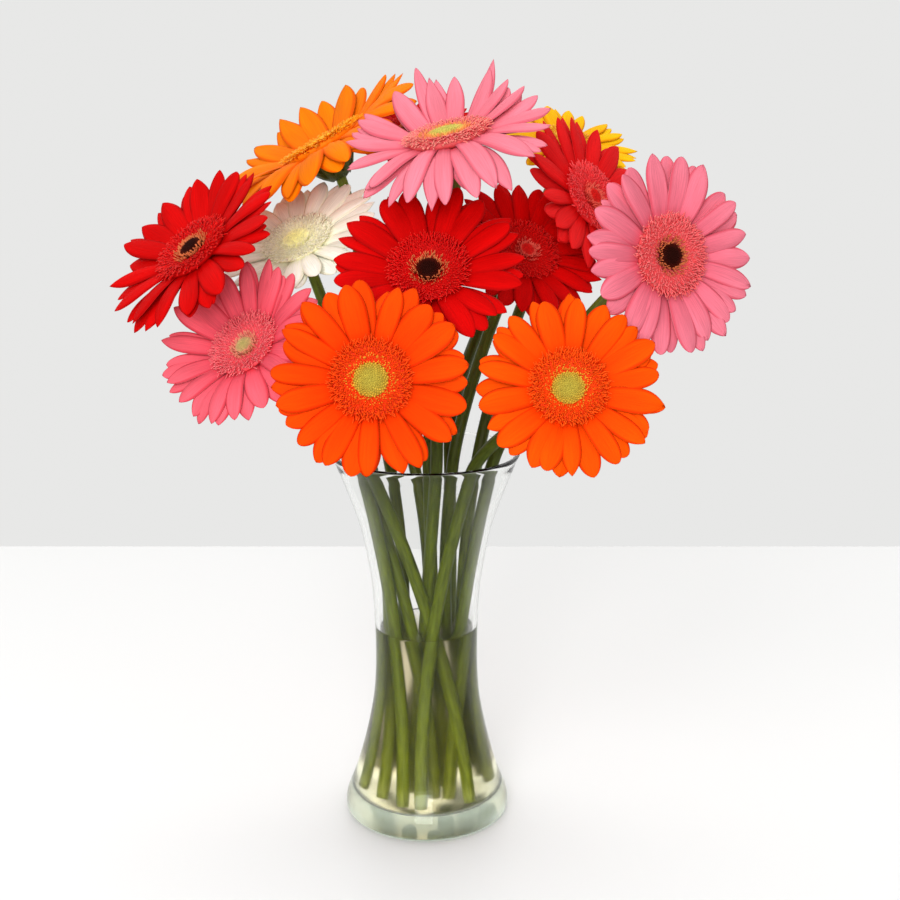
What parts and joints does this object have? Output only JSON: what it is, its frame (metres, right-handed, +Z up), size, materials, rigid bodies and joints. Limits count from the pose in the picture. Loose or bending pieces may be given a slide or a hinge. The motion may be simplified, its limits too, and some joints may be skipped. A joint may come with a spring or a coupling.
{
  "type": "gerberas in a vase",
  "caption": "Bouquet of cut gerberas with long bare stems standing in water in a clear flared glass vase, for a table or shelf.",
  "frame": {"origin": "centre of the vase's flat foot, on the surface it stands on", "axes": "+Z up along the vase's axis; -Y is the side the bunch is seen from; +X to the viewer's right"},
  "size_m": [0.3605, 0.2895, 0.449],
  "materials": {
    "glass": "clear polished glass",
    "water": "clear still water, faintly clouded",
    "stem": "green, downy, finely ribbed",
    "petal_orange": "velvety petal",
    "petal_amber": "velvety petal",
    "petal_pink": "velvety petal",
    "petal_red": "velvety petal",
    "petal_cream": "velvety petal",
    "petal_yellow": "velvety petal",
    "eye_green": "matt buds, yellow-green",
    "eye_dark": "matt buds, dark brown"
  },
  "bodies": {
    "root": {"vase": "glass", "water": "water", "stem_orange_front_left": "stem", "petals_orange_front_left": "petal_orange", "eye_orange_front_left": "eye_green", "stem_orange_front_right": "stem", "petals_orange_front_right": "petal_orange", "eye_orange_front_right": "eye_green", "stem_pink_right": "stem", "petals_pink_right": "petal_pink", "eye_pink_right": "eye_dark", "stem_red_centre": "stem", "petals_red_centre": "petal_red", "eye_red_centre": "eye_dark", "stem_pink_top": "stem", "petals_pink_top": "petal_pink", "eye_pink_top": "eye_green", "stem_red_left": "stem", "petals_red_left": "petal_red", "eye_red_left": "eye_dark", "stem_pink_left": "stem", "petals_pink_left": "petal_pink", "eye_pink_left": "eye_green", "stem_amber_top_left": "stem", "petals_amber_top_left": "petal_amber", "eye_amber_top_left": "eye_green", "stem_cream_left": "stem", "petals_cream_left": "petal_cream", "eye_cream_left": "eye_green", "stem_yellow_back_right": "stem", "petals_yellow_back_right": "petal_yellow", "eye_yellow_back_right": "eye_green", "stem_red_upper_right": "stem", "petals_red_upper_right": "petal_red", "eye_red_upper_right": "eye_dark", "stem_red_middle_right": "stem", "petals_red_middle_right": "petal_red", "eye_red_middle_right": "eye_dark", "stem_red_back": "stem", "petals_red_back": "petal_red", "eye_red_back": "eye_dark"}
  },
  "joints": []
}
